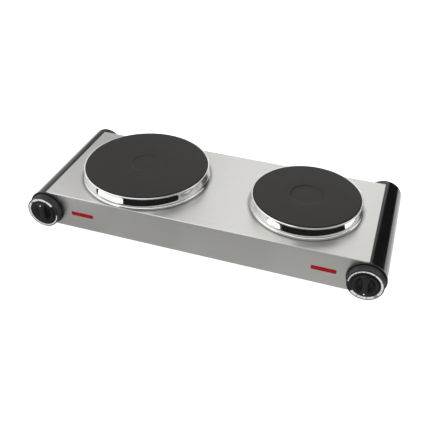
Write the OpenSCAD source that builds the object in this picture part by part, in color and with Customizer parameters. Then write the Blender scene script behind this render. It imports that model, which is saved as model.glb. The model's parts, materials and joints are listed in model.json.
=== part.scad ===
// Double hot plate: two cast iron plates on a folded steel housing between two round end rails.
// Origin: centre of the object's footprint, on the surface that it stands on.
// +X runs along the housing, +Y to the back, +Z up. The knobs face -Y.

/* [Housing] */
// Width of the steel housing, crown to crown of the end rails
body_w = 468; // [460:1:500]
// Depth of the steel housing, front panel to back panel
body_d = 192; // [192:1:210]
// Height of the front and back panels
housing_h = 53.5; // [53.5:0.5:60]
// Thickness of the steel sheet
sheet_t = 0.8; // [0.6:0.1:1]
// Outside radius of the folds along the front and back edges
fold_r = 1.2; // [1.1:0.1:2]
// Width of the inward lips along the bottom of the front and back panels
lip_w = 10; // [8:1:12]

/* [Hot plates] */
// Diameter of the large hot plate
large_d = 185; // [175:1:185]
// Diameter of the small hot plate
small_d = 155; // [145:1:155]
// Centre of the large hot plate along the housing
large_x = -114.5; // [-118:0.5:-110]
// Centre of the small hot plate along the housing
small_x = 131; // [125:0.5:135]
// Height of the hot plates' faces above the housing
plate_rise = 19.5; // [19:0.5:22]
// Diameter of the unheated dip in the middle of each hot plate
dip_d = 46; // [40:1:52]
// Depth of that dip
dip_depth = 0.8; // [0.4:0.1:1.2]

/* [End rails] */
// Outside diameter of the end rails
rail_d = 53; // [53:0.5:54]
// Wall thickness of the end rails
rail_wall = 3; // [2.5:0.25:3.5]
// Diameter of the bezel flange behind each knob
bezel_d = 54; // [54:0.5:56]
// How far the rear caps stand out behind the housing
cap_proud = 12.5; // [9:0.5:14]

/* [Knobs] */
// Diameter of the knobs
knob_d = 49; // [48:0.5:51]
// How far the dial rings stand out in front of the housing
knob_proud = 14.5; // [14.5:0.5:16]
// How far the finger bars stand out in front of the dial rings
bar_proud = 3; // [2:0.5:4]
// Outside radius of the dial ring on each knob face
dial_r = 23; // [22:0.25:23]
// Width of the dial ring at its wide end
dial_wide = 4; // [3.5:0.25:4.5]
// Width of the dial ring at its narrow end
dial_narrow = 1.5; // [1:0.25:3]
// Angle that the gap in the dial ring takes up
dial_gap = 43; // [30:1:60]
// Angle of the middle of that gap on the left knob, from +X towards +Z
dial_gap_at = 19; // [0:1:30]
// Angle of the finger bar and its pointer dot on the left knob, from +X towards +Z
bar_at = 93; // [85:1:105]
// Diameter of the thermostat shafts
shaft_d = 6; // [6:0.1:6.2]

/* [Lamps] */
// Distance of each lamp from the middle of the housing
lamp_x = 178; // [170:1:182]
// Width of the lamp bars
lamp_w = 34; // [28:1:36]
// Height of the lamp bars
lamp_h = 5; // [4:0.5:6]
// Distance of the lamp bars below the top of the housing
lamp_drop = 28; // [26:0.5:32]

/* [Underside] */
// Height of the rubber feet
foot_h = 11.2; // [10:0.2:14]
// Diameter of the rubber feet
foot_d = 22; // [18:1:24]
// Diameter of the hole through the cord gland
gland_bore = 8.4; // [7:0.2:9]

/* [Hidden] */

LEFT = -1;
RIGHT = 1;
eps = 0.01;            // overshoot of a cut past the face that it opens
air = 0.2;             // ordinary gap between neighbouring pieces
smooth = 96;           // facets of round display surfaces
fine = 32;             // facets of small round details

pan_t = 0.8;
base_z = foot_h + pan_t;
top_z = base_z + housing_h;
body_y = (knob_proud + bar_proud - cap_proud) / 2;
front_y = body_y - body_d / 2;
back_y = body_y + body_d / 2;

large_r = large_d / 2;
small_r = small_d / 2;
plate_top = top_z + plate_rise;
shelf_z = top_z + 2.5;       // underside of the plates' rims, on the spill rings
plate_t = 11;                // thickness of the iron over the coil
rim_w = 6;                   // width of the plates' outer rims
boss_r = 20;                 // radius of the plates' centre bosses
hole_in = 10;                // the housing's plate holes are this much smaller in radius
inner_turn = 0.5;            // radii of the coil's two turns, as shares of the plate's radius
outer_turn = 0.72;
coil_wire_r = 2.2;
coil_z = shelf_z + 3.4;
pin_r = 1.5;
pin_low = top_z - 13.5;

stud_r = 2.5;
bridge_t = 1.5;
bridge_w = 20;
bridge_z = top_z - 10.3;     // underside of the clamp bridges' middle span
nut_r = 4.62;
nut_h = 4.5;

rail_r = rail_d / 2;
rail_bore = rail_r - rail_wall;
rail_x = body_w / 2 + 0.5;
rail_z = base_z + housing_h / 2;
plug_r = rail_bore - 0.1;
plug_l = 8;
pad_y = 50;                  // screw pads on the rails, from the middle of the depth
pad_x = rail_x - 23.5;
window_y = front_y + 27;     // middle of the wire window in each rail

bezel_r = bezel_d / 2;
bezel_t = 2.5;
knob_gap = 0.8;
knob_r = knob_d / 2;
knob_back = bezel_t + knob_gap;
knob_roof = knob_proud - 6.3;
scoop_floor = knob_proud - 4.3;
face_r = dial_r - 5.3;       // the raised face inside the dial ring
face_rise = 1;
face_groove = 0.6;           // width of the groove round the face
waist = 8;                   // width of the finger bar at its waist
scoop_r = 36;
ring_t = 0.4;
dot_r = 0.9;
dot_at = 13;
dot_t = 0.3;
hub_r = 6;
shaft_r = shaft_d / 2;
shaft_run = 0.05;            // radial running clearance of the shaft in its bush
flat_at = shaft_r - 1;

frame_t = 1.2;
switch_w = 22;
switch_d = 22;
switch_h = 30;
switch_screw_x = 14;
switch_head = 1.6;           // depth of the counterbores for the switch screws
bush_r = 5;
collar_r = 4.5;
tab_x = 6;
tab_l = 7.8;

foot_x = 195;
foot_y = 64;
shield_z = base_z + 16;
shield_w = 370;
shield_d = 124;
shield_lip = 9;
screw_r = 1.5;
lip_screw_x = 170;
lip_screw_in = 5.5;          // lip screws, in from the front and back panels
shield_screw_x = 150;
gland_z = base_z + 20;
earth_x = -25;
earth_y = body_y + 79;
mains_x = 44;
mains_y = body_y + 79.5;
mains_d = 11;
live_z = base_z + 11;
neutral_z = base_z + 7;
earth_z = base_z + 3;
live_lane = body_y + 65;
neutral_lane = body_y + 69.5;
lead_z = top_z - 23.5;       // level of the leads under the plates
lead_r = 1.3;                // wires, over their insulation
bend_cut = 3;                // how much of a wire's corner its bend takes up
lamp_lead = 9;               // a lamp's two leads, each side of its middle
tab_wire_y = front_y + frame_t + switch_d + 3;

// ---- helpers -------------------------------------------------------------

// Puts children on a rail's axis, with their own Z pointing out of the front panel
module on_rail(side) {
    translate([side * rail_x, front_y, rail_z])
        rotate([90, 0, 0])
            children();
}

// The parts of the right control are those of the left one turned half a turn
module control(side) {
    on_rail(side)
        rotate([0, 0, side == LEFT ? 0 : 180])
            children();
}

module tube(outer, inner, h) {
    difference() {
        cylinder(r = outer, h = h, $fn = smooth);
        translate([0, 0, -eps])
            cylinder(r = inner, h = h + 2 * eps, $fn = smooth);
    }
}

module screw(head_r, head_h, shank_r, shank_l) {
    slot_w = 0.9;
    difference() {
        union() {
            translate([0, 0, -head_h])
                cylinder(r = head_r, h = head_h, $fn = fine);
            cylinder(r = shank_r, h = shank_l, $fn = fine);
        }
        for (turn = [0, 90])
            rotate([0, 0, turn])
                translate([-head_r * 0.6, -slot_w / 2, -head_h - eps])
                    cube([head_r * 1.2, slot_w, head_h / 2]);
    }
}

// A wire's corners are cut short and eased with three points each
function unit(v) = v / norm(v);
function eased(a, b, c) =
    let (
        to_a = unit(a - b),
        to_c = unit(c - b),
        cut = min(bend_cut, 0.45 * norm(a - b), 0.45 * norm(c - b))
    )
    [b + cut * to_a, b + 0.29 * cut * (to_a + to_c), b + cut * to_c];
function eased_route(points) =
    let (last = len(points) - 1)
    [
        points[0],
        for (i = [1 : 1 : last - 1]) each eased(points[i - 1], points[i], points[i + 1]),
        points[last]
    ];
function tangents(route) =
    let (last = len(route) - 1)
    [for (i = [0 : last]) unit(route[min(i + 1, last)] - route[max(i - 1, 0)])];
function square_to(v, along) = unit(v - along * (v * along));
// Each ring's first point, carried from ring to ring so that the tube doesn't twist
function carried(along) = [
    for (
        i = 0, n = square_to([0.31, 0.52, 0.8], along[0]);
        i < len(along);
        i = i + 1, n = i < len(along) ? square_to(n, along[i]) : n
    ) n
];

// An insulated wire through a list of points
module wire(points, r = lead_r) {
    sides = 8;
    route = eased_route(points);
    along = tangents(route);
    across = carried(along);
    rings = len(route);
    skin = [
        for (i = [0 : rings - 1])
            for (j = [0 : sides - 1])
                let (a = 360 * j / sides)
                route[i] + r * (cos(a) * across[i] + sin(a) * cross(along[i], across[i]))
    ];
    walls = [
        for (i = [0 : rings - 2])
            for (j = [0 : sides - 1])
                let (k = (j + 1) % sides)
                [i * sides + j, (i + 1) * sides + j, (i + 1) * sides + k, i * sides + k]
    ];
    near_end = [for (j = [0 : sides - 1]) j];
    far_end = [for (j = [sides - 1 : -1 : 0]) (rings - 1) * sides + j];
    polyhedron(points = skin, faces = concat([near_end], walls, [far_end]));
}

// ---- housing -------------------------------------------------------------

module housing_section(inset) {
    half = body_d / 2 - inset;
    top = housing_h - inset;
    r = fold_r - inset;
    translate([-half, inset])
        square([2 * half, top - inset - r]);
    translate([-half + r, inset])
        square([2 * (half - r), top - inset]);
    for (side = [-1, 1])
        translate([side * (half - r), top - r])
            circle(r = r, $fn = smooth);
}

module housing_blank() {
    opening = body_d / 2 - lip_w;
    rotate([90, 0, 90])
        linear_extrude(height = body_w, center = true)
            difference() {
                housing_section(0);
                housing_section(sheet_t);
                translate([-opening, -1])
                    square([2 * opening, sheet_t + 2]);
            }
}

module housing_shell() {
    lip_cut = 10;
    color("silver")
        difference() {
            translate([0, body_y, base_z])
                housing_blank();
            for (plate = [[large_x, large_r], [small_x, small_r]])
                translate([plate[0], body_y, top_z - sheet_t - 1])
                    cylinder(r = plate[1] - hole_in, h = sheet_t + 2, $fn = smooth);
            for (side = [LEFT, RIGHT]) {
                translate([side * lamp_x, front_y, top_z - lamp_drop])
                    cube([lamp_w + 0.4, 4, lamp_h + 0.4], center = true);
                translate([side * rail_x, front_y - 2, rail_z])
                    rotate([-90, 0, 0])
                        cylinder(r = rail_bore, h = body_d + 4, $fn = smooth);
                translate([side * body_w / 2, body_y, base_z])
                    cube([2 * lip_cut, body_d - 2 * sheet_t - 1, 2 * sheet_t + 1], center = true);
                for (x = [-lip_screw_x, 0, lip_screw_x])
                    translate([x, body_y + side * (body_d / 2 - lip_screw_in), base_z - 1])
                        cylinder(r = screw_r + 0.05, h = sheet_t + 2, $fn = fine);
            }
            translate([0, back_y - 3, gland_z])
                rotate([-90, 0, 0])
                    cylinder(r = 8.2, h = 6, $fn = smooth);
        }
}

// Places children at every base screw: housing lips, rail pads, heat shield lips
module at_base_screws() {
    for (side = [-1, 1]) {
        for (x = [-lip_screw_x, 0, lip_screw_x])
            translate([x, body_y + side * (body_d / 2 - lip_screw_in), 0])
                children();
        for (x = [-pad_x, pad_x])
            translate([x, body_y + side * pad_y, 0])
                children();
        for (x = [-shield_screw_x, shield_screw_x])
            translate([x, body_y + side * (shield_d / 2 + 5), 0])
                children();
    }
}

module at_feet() {
    for (x = [-foot_x, foot_x])
        for (y = [-foot_y, foot_y])
            translate([x, body_y + y, 0])
                children();
}

module base_pan() {
    edge_in = 1.5;
    pan_w = body_w - 4;
    pan_d = body_d - 2 * edge_in;
    vent_l = 34;
    vent_w = 4;
    color("gainsboro")
        difference() {
            union() {
                translate([-pan_w / 2, body_y - pan_d / 2, foot_h])
                    cube([pan_w, pan_d, pan_t]);
                at_feet()
                    translate([0, 0, foot_h])
                        cylinder(r = 3.5, h = pan_t + 2, $fn = fine);
            }
            at_feet()
                translate([0, 0, foot_h - 1])
                    cylinder(r = 2, h = pan_t + 4, $fn = fine);
            at_base_screws()
                translate([0, 0, foot_h - 1])
                    cylinder(r = screw_r + 0.2, h = pan_t + 2, $fn = fine);
            translate([earth_x, earth_y, foot_h - 1])
                cylinder(r = 2.05, h = pan_t + 2, $fn = fine);
            for (x = [large_x, small_x])
                for (row = [-3 : 3])
                    translate([x - vent_l / 2, body_y + row * 12 - vent_w / 2, foot_h - 1])
                        cube([vent_l, vent_w, pan_t + 2]);
        }
}

module heat_shield() {
    leg = shield_z - base_z;
    color("lightgray")
        difference() {
            translate([-shield_w / 2, body_y, base_z])
                rotate([90, 0, 90])
                    linear_extrude(height = shield_w) {
                        translate([-shield_d / 2, leg])
                            square([shield_d, sheet_t]);
                        for (side = [0, 1])
                            mirror([side, 0]) {
                                translate([shield_d / 2 - sheet_t, 0])
                                    square([sheet_t, leg + sheet_t]);
                                translate([shield_d / 2 - sheet_t, 0])
                                    square([shield_lip + sheet_t, sheet_t]);
                            }
                    }
            at_base_screws()
                translate([0, 0, base_z - 1])
                    cylinder(r = screw_r + 0.05, h = sheet_t + 2, $fn = fine);
        }
}

// ---- end rails -----------------------------------------------------------

module end_rail(side) {
    pad = 14;
    window = 18;
    rebate = sheet_t + air;
    color([0.05, 0.05, 0.05])
        difference() {
            union() {
                translate([side * rail_x, front_y, rail_z])
                    rotate([-90, 0, 0])
                        cylinder(r = rail_r, h = body_d, $fn = smooth);
                for (y = [-pad_y, pad_y])
                    translate([side * (pad_x + 2.5), body_y + y, base_z + pad - 3])
                        cube([pad, pad, 2 * pad - 6], center = true);
            }
            translate([side * rail_x, front_y - 1, rail_z])
                rotate([-90, 0, 0])
                    cylinder(r = rail_bore, h = body_d + 2, $fn = smooth);
            // rebates for the housing's sheet
            translate([side * (body_w / 2 + air - 50), body_y, top_z])
                cube([100, body_d + 2, 2 * rebate], center = true);
            for (end = [front_y, back_y])
                translate([side * (body_w / 2 + air - 50), end, rail_z])
                    cube([100, 2 * rebate, 100], center = true);
            translate([side * (rail_x - rail_r), window_y, rail_z])
                cube([15, window, window], center = true);
            for (y = [-pad_y, pad_y])
                translate([side * pad_x, body_y + y, base_z - 1])
                    cylinder(r = screw_r + 0.05, h = 13, $fn = fine);
        }
}

module bezel(side) {
    edge = 0.6;
    color([0.06, 0.06, 0.06])
        control(side)
            difference() {
                union() {
                    cylinder(r = bezel_r, h = bezel_t - edge, $fn = smooth);
                    translate([0, 0, bezel_t - edge])
                        cylinder(r1 = bezel_r, r2 = bezel_r - edge, h = edge, $fn = smooth);
                    translate([0, 0, -plug_l])
                        cylinder(r = plug_r, h = plug_l, $fn = smooth);
                }
                translate([0, 0, -plug_l - eps])
                    cylinder(r = plug_r - 3, h = plug_l + eps, $fn = smooth);
                translate([0, 0, -1])
                    cylinder(r = bush_r + air, h = bezel_t + 2, $fn = smooth);
                for (x = [-switch_screw_x, switch_screw_x])
                    translate([x, 0, 0]) {
                        translate([0, 0, -1])
                            cylinder(r = 2.1, h = bezel_t + 2, $fn = fine);
                        translate([0, 0, bezel_t - switch_head])
                            cylinder(r = 4.1, h = switch_head + 1, $fn = fine);
                    }
            }
}

module rear_cap(side) {
    edge = 3;
    color([0.06, 0.06, 0.06])
        translate([side * rail_x, back_y, rail_z])
            rotate([-90, 0, 0])
                difference() {
                    union() {
                        rotate_extrude($fn = smooth) {
                            square([rail_r - 0.3, cap_proud - edge]);
                            square([rail_r - 0.3 - edge, cap_proud]);
                            translate([rail_r - 0.3 - edge, cap_proud - edge])
                                intersection() {
                                    circle(r = edge, $fn = smooth);
                                    square(edge + 1);
                                }
                        }
                        translate([0, 0, -plug_l])
                            cylinder(r = plug_r, h = plug_l + 1, $fn = smooth);
                    }
                    translate([0, 0, -plug_l - eps])
                        cylinder(r = plug_r - 3, h = plug_l + cap_proud - 3.5, $fn = smooth);
                }
}

// ---- hot plates ----------------------------------------------------------

module hotplate(x, r) {
    edge = 1.2;
    rise = plate_top - shelf_z;
    under = rise - plate_t;
    color([0.2, 0.19, 0.18])
        translate([x, body_y, shelf_z])
            rotate_extrude($fn = smooth)
                difference() {
                    union() {
                        square([r, rise - edge]);
                        square([r - edge, rise]);
                        translate([r - edge, rise - edge])
                            circle(r = edge, $fn = smooth);
                    }
                    // tapped hole for the stud
                    translate([-1, -1])
                        square([1 + stud_r + 0.05, 10]);
                    // channel for the insulation and the coil
                    translate([boss_r, -1])
                        square([r - rim_w - boss_r, under + 1]);
                    // unheated dip in the face
                    polygon([
                        [-1, rise - dip_depth],
                        [dip_d / 2, rise - dip_depth],
                        [dip_d / 2 + 1.5, rise + eps],
                        [-1, rise + eps]
                    ]);
                }
}

module spill_ring(x, r) {
    t = 0.8;
    wall = r + 0.3;
    wall_top = plate_rise - 1.3;
    color("whitesmoke")
        translate([x, body_y, top_z])
            rotate_extrude($fn = smooth) {
                polygon([
                    [r - rim_w - 0.5, 2.5 - t],
                    [r + 1, 2.5 - t],
                    [r + 2.2, 0],
                    [r + 3, 0],
                    [r + 3, t],
                    [r + 1.5, 3.2],
                    [wall + t, 4.6],
                    [wall + t, wall_top],
                    [wall, wall_top],
                    [wall, 2.5],
                    [r - rim_w - 0.5, 2.5]
                ]);
                translate([wall + t / 2, wall_top])
                    circle(r = t / 2, $fn = fine);
            }
}

// The coil's two turns: both start over the pins at the back and are linked at their far ends
module coil_shape(r, wire_r) {
    sweep = 340;
    start = 90;
    r_in = inner_turn * r;
    r_out = outer_turn * r;
    for (turn_r = [r_in, r_out])
        rotate([0, 0, start])
            rotate_extrude(angle = sweep, $fn = smooth)
                translate([turn_r, 0])
                    circle(r = wire_r, $fn = fine);
    rotate([0, 0, start + sweep])
        translate([r_in, 0, 0])
            rotate([0, 90, 0])
                cylinder(r = wire_r, h = r_out - r_in, $fn = fine);
    for (turn_r = [r_in, r_out])
        for (end = [start, start + sweep])
            rotate([0, 0, end])
                translate([turn_r, 0, 0])
                    sphere(r = wire_r + 0.05, $fn = fine);
}

module at_pins(r) {
    for (share = [inner_turn, outer_turn])
        translate([0, share * r, 0])
            children();
}

module heating_coil(x, r) {
    color("peru")
        translate([x, body_y, coil_z]) {
            coil_shape(r, coil_wire_r);
            at_pins(r)
                translate([0, 0, pin_low - coil_z])
                    cylinder(r = pin_r, h = coil_z - pin_low, $fn = fine);
        }
}

module insulation(x, r) {
    bottom = shelf_z + 0.4;
    h = plate_top - plate_t - air - bottom;
    groove = coil_wire_r + 0.1;
    r_in = inner_turn * r;
    r_out = outer_turn * r;
    color("ivory")
        difference() {
            translate([x, body_y, bottom])
                tube(r - rim_w - 0.3, boss_r + 0.3, h);
            translate([x, body_y, coil_z - groove])
                for (turn_r = [r_in, r_out])
                    tube(turn_r + groove, turn_r - groove, 20);
            translate([x, body_y, coil_z - groove])
                rotate([0, 0, 70])
                    translate([r_in, -groove, 0])
                        cube([r_out - r_in, 2 * groove, 20]);
            translate([x, body_y, bottom - 1])
                at_pins(r)
                    cylinder(r = pin_r + 0.3, h = 6, $fn = fine);
        }
}

module plate_cover(x, r) {
    color("lightgray")
        translate([x, body_y, shelf_z - 0.8])
            difference() {
                cylinder(r = r - rim_w - 2.5, h = 0.6, $fn = smooth);
                translate([0, 0, -1])
                    cylinder(r = stud_r + 0.5, h = 3, $fn = fine);
                translate([0, 0, -1])
                    at_pins(r)
                        cylinder(r = pin_r + 1, h = 3, $fn = fine);
            }
}

module clamp_bridge(x, r) {
    reach = r - 2;
    leg_x = r - hole_in - 6;
    end_z = top_z - sheet_t - bridge_t;
    color("darkgray")
        translate([x, body_y, 0])
            difference() {
                union() {
                    translate([-leg_x, -bridge_w / 2, bridge_z])
                        cube([2 * leg_x, bridge_w, bridge_t]);
                    for (side = [0, 1])
                        mirror([side, 0, 0]) {
                            translate([leg_x - bridge_t, -bridge_w / 2, bridge_z])
                                cube([bridge_t, bridge_w, end_z + bridge_t - bridge_z]);
                            translate([leg_x - bridge_t, -bridge_w / 2, end_z])
                                cube([reach - leg_x + bridge_t, bridge_w, bridge_t]);
                        }
                }
                translate([0, 0, bridge_z - 1])
                    cylinder(r = stud_r + 0.5, h = bridge_t + 2, $fn = fine);
            }
}

module plate_studs() {
    low = bridge_z - nut_h - 4.5;
    color("slategray")
        for (x = [large_x, small_x])
            translate([x, body_y, low])
                cylinder(r = stud_r, h = shelf_z + 8.5 - low, $fn = fine);
}

module plate_nuts() {
    color("slategray")
        for (x = [large_x, small_x])
            translate([x, body_y, bridge_z - nut_h])
                difference() {
                    cylinder(r = nut_r, h = nut_h, $fn = 6);
                    translate([0, 0, -1])
                        cylinder(r = stud_r + 0.05, h = nut_h + 2, $fn = fine);
                }
}

module terminal_block(x, r) {
    w = 14;
    h = 12;
    from = inner_turn * r - 6;
    to = outer_turn * r + 6;
    color("ivory")
        difference() {
            translate([x - w / 2, body_y + from, shelf_z - 0.8 - h])
                cube([w, to - from, h]);
            translate([x, body_y, pin_low])
                at_pins(r)
                    cylinder(r = pin_r + 0.1, h = 30, $fn = fine);
        }
}

module thermal_cutout(x, r) {
    h = 8;
    color("tan")
        translate([x, body_y - inner_turn * r, shelf_z - 0.8 - h]) {
            cylinder(r = 8, h = h, $fn = smooth);
            for (side = [-1, 1])
                translate([side * 4 - 2, -0.4, -6])
                    cube([4, 0.8, 6 + eps]);
        }
}

// ---- thermostats ---------------------------------------------------------

module thermostat_frame(side) {
    color("lightsteelblue")
        control(side)
            difference() {
                union() {
                    translate([-18, -9, -frame_t])
                        cube([36, 18, frame_t]);
                    translate([0, 0, -frame_t])
                        cylinder(r = bush_r, h = frame_t + bezel_t + 1.5, $fn = smooth);
                }
                translate([0, 0, -5])
                    cylinder(r = shaft_r + shaft_run, h = 20, $fn = smooth);
                for (x = [-switch_screw_x, switch_screw_x])
                    translate([x, 0, -5])
                        cylinder(r = 2, h = 10, $fn = fine);
            }
}

module thermostat_body(side) {
    color("linen")
        control(side)
            difference() {
                union() {
                    translate([-switch_w / 2, -switch_h / 2, -frame_t - switch_d])
                        cube([switch_w, switch_h, switch_d]);
                    for (x = [-tab_x, tab_x])
                        translate([x - 0.4, -3.15, -frame_t - switch_d - tab_l])
                            cube([0.8, 6.3, tab_l + eps]);
                }
                translate([0, 0, -frame_t - 7])
                    cylinder(r = shaft_r + 0.2, h = 10, $fn = smooth);
                translate([0, 0, -frame_t - 2])
                    cylinder(r = collar_r + 0.5, h = 3, $fn = smooth);
            }
}

module thermostat_screws() {
    color("slategray")
        for (side = [LEFT, RIGHT])
            control(side)
                for (x = [-switch_screw_x, switch_screw_x])
                    translate([x, 0, 0]) {
                        translate([0, 0, bezel_t - switch_head])
                            cylinder(r = 3.8, h = switch_head - 0.1, $fn = fine);
                        translate([0, 0, -4])
                            cylinder(r = 1.95, h = 6, $fn = fine);
                    }
}

module thermostat_shaft(side) {
    color("gold")
        control(side)
            difference() {
                union() {
                    translate([0, 0, -frame_t - 6])
                        cylinder(r = shaft_r, h = scoop_floor - 0.2 + frame_t + 6, $fn = smooth);
                    translate([0, 0, -frame_t - 1.6])
                        cylinder(r = collar_r, h = 1.3, $fn = smooth);
                }
                translate([flat_at, -shaft_r - 1, bezel_t + 2])
                    cube([shaft_r, 2 * shaft_r + 2, 20]);
            }
}

// ---- knobs ---------------------------------------------------------------

module scoops(r, depth) {
    linear_extrude(height = depth)
        for (side = [0, 1])
            mirror([side, 0])
                intersection() {
                    circle(r = r, $fn = smooth);
                    translate([waist / 2 + scoop_r, 0])
                        circle(r = scoop_r, $fn = smooth);
                }
}

module knob(side) {
    edge = 0.8;
    bar_end = face_r - 1.5;
    color([0.08, 0.08, 0.08])
        control(side)
            difference() {
                union() {
                    translate([0, 0, knob_back])
                        cylinder(r = knob_r, h = knob_proud - edge - knob_back, $fn = smooth);
                    translate([0, 0, knob_proud - edge])
                        cylinder(r1 = knob_r, r2 = knob_r - edge, h = edge, $fn = smooth);
                    translate([0, 0, knob_proud - 1])
                        cylinder(r = face_r + face_groove / 2, h = 1 + face_rise, $fn = smooth);
                    translate([0, 0, knob_proud - 1])
                        cylinder(r = bar_end, h = 1 + bar_proud - edge, $fn = smooth);
                    translate([0, 0, knob_proud + bar_proud - edge])
                        cylinder(r1 = bar_end, r2 = bar_end - edge, h = edge, $fn = smooth);
                }
                // hollow behind the face, round the hub
                translate([0, 0, knob_back - 1])
                    tube(knob_r - 3, hub_r, knob_roof - knob_back + 1);
                translate([0, 0, knob_back - 1])
                    cylinder(r = hub_r + 1, h = 2.7, $fn = smooth);
                // D-shaped hole for the shaft
                difference() {
                    cylinder(r = shaft_r + shaft_run, h = scoop_floor, $fn = smooth);
                    translate([flat_at + shaft_run, -shaft_r - 1, 0])
                        cube([shaft_r, 2 * shaft_r + 2, 30]);
                }
                // seat of the dial ring
                translate([0, 0, knob_proud - ring_t])
                    tube(dial_r + 0.1, dial_r - dial_wide - 0.1, 2);
                // groove round the face, then two finger scoops either side of the bar
                translate([0, 0, knob_proud - 2])
                    tube(face_r + face_groove, face_r, 5);
                translate([0, 0, scoop_floor])
                    rotate([0, 0, bar_at - 90])
                        scoops(bar_end + 0.1, 10);
                // seat of the pointer dot
                rotate([0, 0, bar_at])
                    translate([dot_at, 0, knob_proud + bar_proud - dot_t])
                        cylinder(r = dot_r + 0.05, h = 1, $fn = fine);
            }
}

// Points along the dial ring: outer edge out, inner edge back, its width falling along the way
function dial_angle(i, steps) =
    dial_gap_at + dial_gap / 2 + (360 - dial_gap) * i / steps;
function dial_inner(i, steps) =
    dial_r - dial_wide + (dial_wide - dial_narrow) * i / steps;
function on_circle(r, a) = [r * cos(a), r * sin(a)];

module dial_ring(side) {
    steps = 64;
    color("gainsboro")
        control(side)
            translate([0, 0, knob_proud - ring_t])
                linear_extrude(height = ring_t)
                    polygon(concat(
                        [for (i = [0 : steps]) on_circle(dial_r, dial_angle(i, steps))],
                        [for (i = [steps : -1 : 0]) on_circle(dial_inner(i, steps), dial_angle(i, steps))]
                    ));
}

module pointer_dot(side) {
    color("white")
        control(side)
            rotate([0, 0, bar_at])
                translate([dot_at, 0, knob_proud + bar_proud - dot_t])
                    cylinder(r = dot_r, h = dot_t, $fn = fine);
}

module knob_clip(side) {
    color("lightsteelblue")
        control(side)
            translate([0, 0, knob_back + 1.9])
                rotate_extrude(angle = 300, $fn = smooth)
                    translate([hub_r + 0.05, 0])
                        square([0.5, 2.6]);
}

// ---- lamps ---------------------------------------------------------------

module lamp_lens(side) {
    lens_proud = 0.6;
    box_w = lamp_w - 4;
    box_h = 9;
    color("red")
        translate([side * lamp_x, 0, top_z - lamp_drop])
            difference() {
                union() {
                    translate([-lamp_w / 2, front_y - lens_proud, -lamp_h / 2])
                        cube([lamp_w, lens_proud + sheet_t + 0.5, lamp_h]);
                    translate([-lamp_w / 2 - 2, front_y + sheet_t, -box_h / 2])
                        cube([lamp_w + 4, 1.5, box_h]);
                    translate([-box_w / 2, front_y + sheet_t, -box_h / 2])
                        cube([box_w, 10, box_h]);
                }
                translate([-box_w / 2 + 1.5, front_y + sheet_t + 1.5, -box_h / 2 + 1.5])
                    cube([box_w - 3, 10, box_h - 3]);
            }
}

module neon_lamp(side) {
    glass_r = 2.2;
    glass_l = 20;
    color("orange")
        translate([side * lamp_x - glass_l / 2, front_y + 6.5, top_z - lamp_drop])
            rotate([0, 90, 0]) {
                cylinder(r = glass_r, h = glass_l, $fn = fine);
                sphere(r = glass_r, $fn = fine);
                translate([0, 0, glass_l])
                    sphere(r = glass_r, $fn = fine);
            }
}

// ---- mains connection ----------------------------------------------------

module mains_terminal_block() {
    w = 36;
    h = 15;
    pitch = 12;
    color("ivory")
        translate([mains_x, mains_y, base_z])
            difference() {
                translate([-w / 2, -mains_d / 2, 0])
                    cube([w, mains_d, h]);
                for (i = [-1 : 1])
                    translate([i * pitch, 0, 6])
                        cylinder(r = 2.5, h = h, $fn = fine);
            }
}

module cord_gland() {
    color([0.1, 0.1, 0.1])
        translate([0, back_y, gland_z])
            rotate([-90, 0, 0])
                difference() {
                    union() {
                        translate([0, 0, -11])
                            cylinder(r = 8, h = 11, $fn = smooth);
                        cylinder(r = 11, h = 3, $fn = smooth);
                        translate([0, 0, 3])
                            cylinder(r1 = 8, r2 = 6.5, h = 7, $fn = smooth);
                    }
                    translate([0, 0, -12])
                        cylinder(r = gland_bore / 2, h = 30, $fn = smooth);
                }
}

module gland_nut() {
    color([0.1, 0.1, 0.1])
        translate([0, back_y - sheet_t, gland_z])
            rotate([90, 0, 0])
                difference() {
                    cylinder(r = 12, h = 4, $fn = 6);
                    translate([0, 0, -1])
                        cylinder(r = 8.05, h = 6, $fn = smooth);
                }
}

module earth_screw() {
    color("slategray")
        translate([earth_x, earth_y, foot_h])
            screw(3.5, 1.8, 1.95, 10);
}

module live_wires() {
    feed_y = mains_y - mains_d / 2;
    cutout_low = shelf_z - 14.9;
    color("sienna")
        for (side = [LEFT, RIGHT]) {
            x_plate = side == LEFT ? large_x : small_x;
            r_plate = side == LEFT ? large_r : small_r;
            x_feed = mains_x - 12 + side * 2;
            window_x = side * (rail_x - rail_r - 3);
            cutout_y = body_y - inner_turn * r_plate;
            pin_y = body_y + inner_turn * r_plate;
            // mains block to the thermostat
            wire([
                [x_feed, feed_y, live_z],
                [x_feed, live_lane, live_z],
                [side * (foot_x + 1), live_lane, live_z],
                [side * (foot_x + 1), tab_wire_y, live_z],
                [window_x, tab_wire_y, rail_z],
                [side * (rail_x - tab_x - 0.5), tab_wire_y, rail_z]
            ]);
            // thermostat to the thermal cut-out
            wire([
                [side * (rail_x + tab_x), front_y + frame_t + switch_d + tab_l + 0.1, rail_z - 1.5],
                [side * (rail_x + tab_x), tab_wire_y + 9, rail_z - 1.5],
                [window_x, tab_wire_y + 8, rail_z - 1.5],
                [side * (lamp_x + lamp_lead), tab_wire_y + 8, top_z - lamp_drop],
                [x_plate + side * 4, cutout_y - 12, lead_z],
                [x_plate + side * 4, cutout_y, lead_z],
                [x_plate + side * 4, cutout_y, cutout_low]
            ]);
            // thermal cut-out to the coil's inner pin
            wire([
                [x_plate - side * 4, cutout_y, cutout_low],
                [x_plate - side * 4, cutout_y, lead_z + 4],
                [x_plate - side * 14, cutout_y + 20, lead_z + 4],
                [x_plate - side * 14, pin_y - 14, lead_z + 4],
                [x_plate, pin_y, lead_z + 4],
                [x_plate, pin_y, pin_low - 0.1]
            ]);
        }
}

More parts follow.
